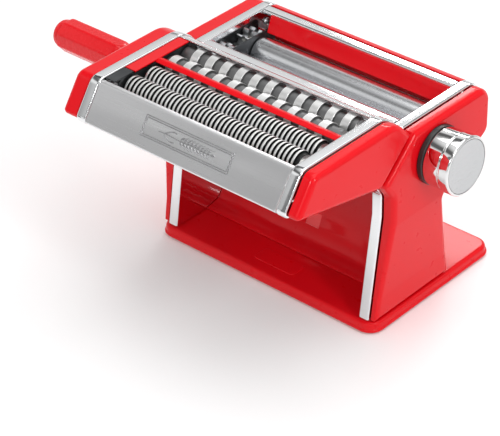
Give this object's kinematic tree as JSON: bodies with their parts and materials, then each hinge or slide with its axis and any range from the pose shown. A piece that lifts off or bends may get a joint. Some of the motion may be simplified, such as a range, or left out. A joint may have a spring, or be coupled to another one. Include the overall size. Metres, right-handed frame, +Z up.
{
  "type": "manual pasta roller machine",
  "caption": "Hand-cranked dough sheeter on a flat base, with a hung-on strand cutter unit, side covers, thickness dial and plug-in crank.",
  "frame": {"origin": "centre of the anti-slip pad's underside, on the table, under the middle of the base plate", "axes": "+X along the rollers towards the thickness dial, +Y from the cutter unit towards the sheeting rollers at the back, +Z up"},
  "size_m": [0.34, 0.2059, 0.1573],
  "materials": {
    "red_paint": "high gloss",
    "chrome_trim": "mirror",
    "roller_steel": "fine ground",
    "cutter_alloy": "turned",
    "plain_steel": "satin",
    "plate_steel": "satin",
    "dark_steel": "satin",
    "knob_chrome": "mirror",
    "black_plastic": "satin",
    "white_plastic": "satin",
    "red_plastic": "gloss",
    "rubber_pad": "matte"
  },
  "bodies": {
    "main_unit": {"base_plate": "red_paint", "anti_slip_pad": "rubber_pad", "dough_slide": "red_paint", "side_frame_left": "chrome_trim", "side_frame_right": "chrome_trim", "side_cover_left": "red_paint", "side_cover_right": "red_paint", "cover_screw_left": "plain_steel", "cover_screw_right": "plain_steel", "roller_bush_left": "white_plastic", "roller_bush_right": "white_plastic", "rear_bar": "chrome_trim", "front_bar": "chrome_trim", "hopper_rear": "red_paint", "rear_panel": "red_paint", "hook_rod": "plain_steel", "rear_tie_rod": "plain_steel", "roller_gear_guard": "dark_steel", "scraper_front": "plain_steel", "scraper_rear": "plain_steel", "dial_collar": "black_plastic"},
    "smooth_rear": {"smooth_roller_rear": "roller_steel", "roller_gear_rear": "plain_steel"},
    "gap_carriage": {"slide_block_left": "white_plastic", "slide_block_right": "white_plastic"},
    "smooth_front": {"smooth_roller_front": "roller_steel", "roller_gear_front": "plain_steel"},
    "dial_cam": {"dial_spindle": "plain_steel", "dial_screw": "plain_steel", "dial_spring": "plain_steel"},
    "knob": {"dial_knob": "knob_chrome", "dial_face": "plate_steel"},
    "cutter_unit": {"cutter_frame_left": "chrome_trim", "cutter_frame_right": "chrome_trim", "cutter_cover_left": "red_paint", "cutter_cover_right": "red_paint", "cutter_bearing_left": "white_plastic", "cutter_bearing_right": "white_plastic", "hang_hook_left": "plain_steel", "hang_hook_right": "plain_steel", "front_plate": "plate_steel", "feed_lip": "plate_steel", "cutter_gear_guard": "dark_steel", "centre_guide": "red_paint", "cutter_rear_rail": "chrome_trim", "comb_front": "plain_steel", "comb_middle": "plain_steel", "comb_wide_front": "plain_steel", "comb_rear": "plain_steel"},
    "narrow_front": {"narrow_front_cutter": "cutter_alloy", "narrow_front_gear": "plain_steel"},
    "narrow_rear": {"narrow_rear_cutter": "cutter_alloy", "narrow_rear_gear": "plain_steel"},
    "wide_front": {"wide_front_cutter": "cutter_alloy", "wide_front_gear": "plain_steel"},
    "wide_rear": {"wide_rear_cutter": "cutter_alloy", "wide_rear_gear": "plain_steel"},
    "crank": {"crank_rod": "plain_steel"},
    "grip": {"crank_grip": "red_plastic", "grip_end_cap": "red_plastic"}
  },
  "joints": [
    {"name": "smooth_rear_turn", "type": "hinge", "parent": "main_unit", "child": "smooth_rear", "pos_m": [0, 0.0218, 0.1157], "axis": [1, 0, 0], "continuous": true},
    {"name": "roller_gap", "type": "slide", "parent": "main_unit", "child": "gap_carriage", "axis": [0, 1, 0], "range_m": [0, 0.002]},
    {"name": "smooth_front_turn", "type": "hinge", "parent": "gap_carriage", "child": "smooth_front", "pos_m": [0, -0.0056, 0.1157], "axis": [1, 0, 0], "continuous": true},
    {"name": "dial_turn", "type": "hinge", "parent": "main_unit", "child": "dial_cam", "pos_m": [0, -0.0046, 0.1157], "axis": [1, 0, 0], "range_deg": [0, 180]},
    {"name": "dial_pull", "type": "slide", "parent": "dial_cam", "child": "knob", "axis": [1, 0, 0], "range_m": [0, 0.003], "stiffness_N_per_m": 600, "springref_m": -0.004, "deforming": ["dial_spring"]},
    {"name": "cutter_lift", "type": "slide", "parent": "main_unit", "child": "cutter_unit", "axis": [0, 0, 1], "range_m": [0, 0.04]},
    {"name": "narrow_front_turn", "type": "hinge", "parent": "cutter_unit", "child": "narrow_front", "pos_m": [0, -0.104, 0.1455], "axis": [1, 0, 0], "continuous": true},
    {"name": "narrow_rear_turn", "type": "hinge", "parent": "cutter_unit", "child": "narrow_rear", "pos_m": [0, -0.0872, 0.1455], "axis": [1, 0, 0], "continuous": true},
    {"name": "wide_front_turn", "type": "hinge", "parent": "cutter_unit", "child": "wide_front", "pos_m": [0, -0.068, 0.1455], "axis": [1, 0, 0], "continuous": true},
    {"name": "wide_rear_turn", "type": "hinge", "parent": "cutter_unit", "child": "wide_rear", "pos_m": [0, -0.0512, 0.1455], "axis": [1, 0, 0], "continuous": true},
    {"name": "crank_pull", "type": "slide", "parent": "narrow_front", "child": "crank", "axis": [-1, 0, 0], "range_m": [0, 0.03]},
    {"name": "grip_spin", "type": "hinge", "parent": "crank", "child": "grip", "pos_m": [0, -0.03803, 0.10983], "axis": [1, 0, 0], "continuous": true}
  ],
  "couplings": [
    {"joint": "smooth_front_turn", "follows": "smooth_rear_turn", "ratio": -1},
    {"joint": "dial_turn", "follows": "roller_gap", "rad_per_m": 1570.8},
    {"joint": "narrow_rear_turn", "follows": "narrow_front_turn", "ratio": -1},
    {"joint": "wide_rear_turn", "follows": "wide_front_turn", "ratio": -1}
  ]
}
